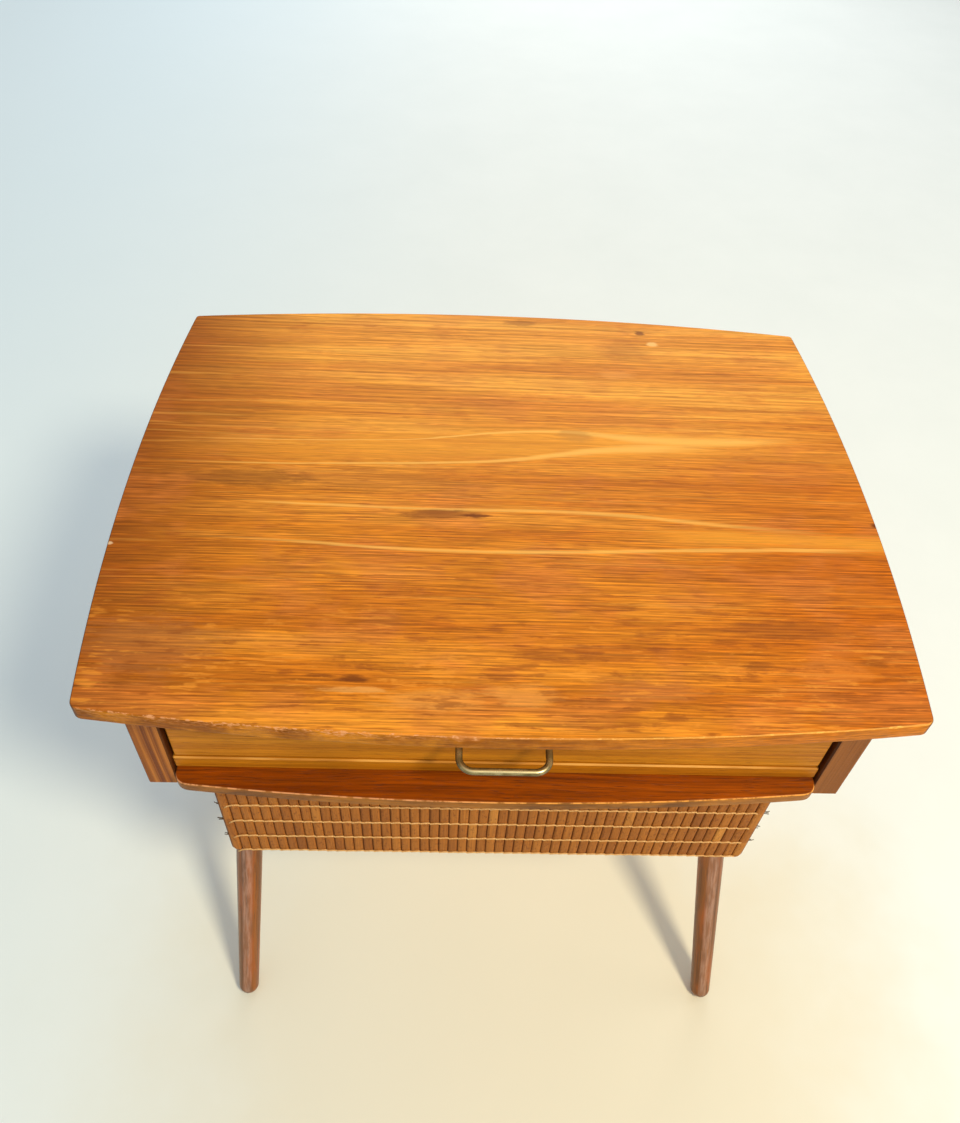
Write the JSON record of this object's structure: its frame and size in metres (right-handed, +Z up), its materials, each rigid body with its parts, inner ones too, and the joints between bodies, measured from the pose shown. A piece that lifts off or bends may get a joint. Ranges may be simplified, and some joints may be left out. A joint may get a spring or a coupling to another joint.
{
  "type": "sewing table",
  "caption": "Low sewing table: bowed overhanging top, shallow drawer with a wire pull, sliding woven basket below, and round legs in splayed pairs at each side.",
  "frame": {"origin": "on the floor under the middle of the table", "axes": "+X to the right seen from the front, +Y from the drawer front to the back, +Z up"},
  "size_m": [0.6046, 0.4818, 0.52],
  "materials": {
    "top_teak": "oiled teak veneer, worn satin",
    "panel_teak": "oiled teak, edge grain, satin",
    "front_teak": "oiled teak, long grain, satin",
    "lip_teak": "dark oiled teak, satin",
    "leg_teak": "turned teak, polished",
    "beech": "bare hidden wood, matt",
    "plywood": "bare plywood, matt",
    "splint": "flat wood splints held by fine thread, matt",
    "aged_brass": "aged, smooth",
    "steel": "plain steel screw"
  },
  "bodies": {
    "case": {"back_panel": "plywood", "drawer_kicker_left": "beech", "drawer_kicker_right": "beech", "drawer_runner_left": "beech", "drawer_runner_right": "beech", "drawer_stop_left": "beech", "drawer_stop_right": "beech", "front_rail": "front_teak", "leg_dowel_front_left": "beech", "leg_dowel_front_right": "beech", "leg_dowel_rear_left": "beech", "leg_dowel_rear_right": "beech", "leg_front_left": "leg_teak", "leg_front_right": "leg_teak", "leg_rail_left": "beech", "leg_rail_right": "beech", "leg_rear_left": "leg_teak", "leg_rear_right": "leg_teak", "rail_screw_front_left": "steel", "rail_screw_front_right": "steel", "rail_screw_rear_left": "steel", "rail_screw_rear_right": "steel", "side_panel_left": "panel_teak", "side_panel_right": "panel_teak", "tabletop": "top_teak", "upper_rail_front": "beech", "upper_rail_rear": "beech"},
    "drawer": {"drawer_back": "beech", "drawer_divider_left": "beech", "drawer_divider_long": "beech", "drawer_divider_right": "beech", "drawer_floor": "plywood", "drawer_front": "front_teak", "drawer_side_left": "beech", "drawer_side_right": "beech", "handle": "aged_brass", "handle_screw_left": "steel", "handle_screw_right": "steel"},
    "basket": {"basket_floor": "plywood", "basket_mat_back": "splint", "basket_mat_front": "splint", "basket_mat_left": "splint", "basket_mat_right": "splint", "basket_post_front_left": "beech", "basket_post_front_right": "beech", "basket_post_rear_left": "beech", "basket_post_rear_right": "beech", "basket_rim_back": "lip_teak", "basket_rim_front": "lip_teak", "basket_rim_left": "lip_teak", "basket_rim_right": "lip_teak"}
  },
  "joints": [
    {"name": "drawer_slide", "type": "slide", "parent": "case", "child": "drawer", "axis": [0, -1, 0], "range_m": [0, 0.25]},
    {"name": "basket_slide", "type": "slide", "parent": "case", "child": "basket", "axis": [0, -1, 0], "range_m": [0, 0.26]}
  ]
}
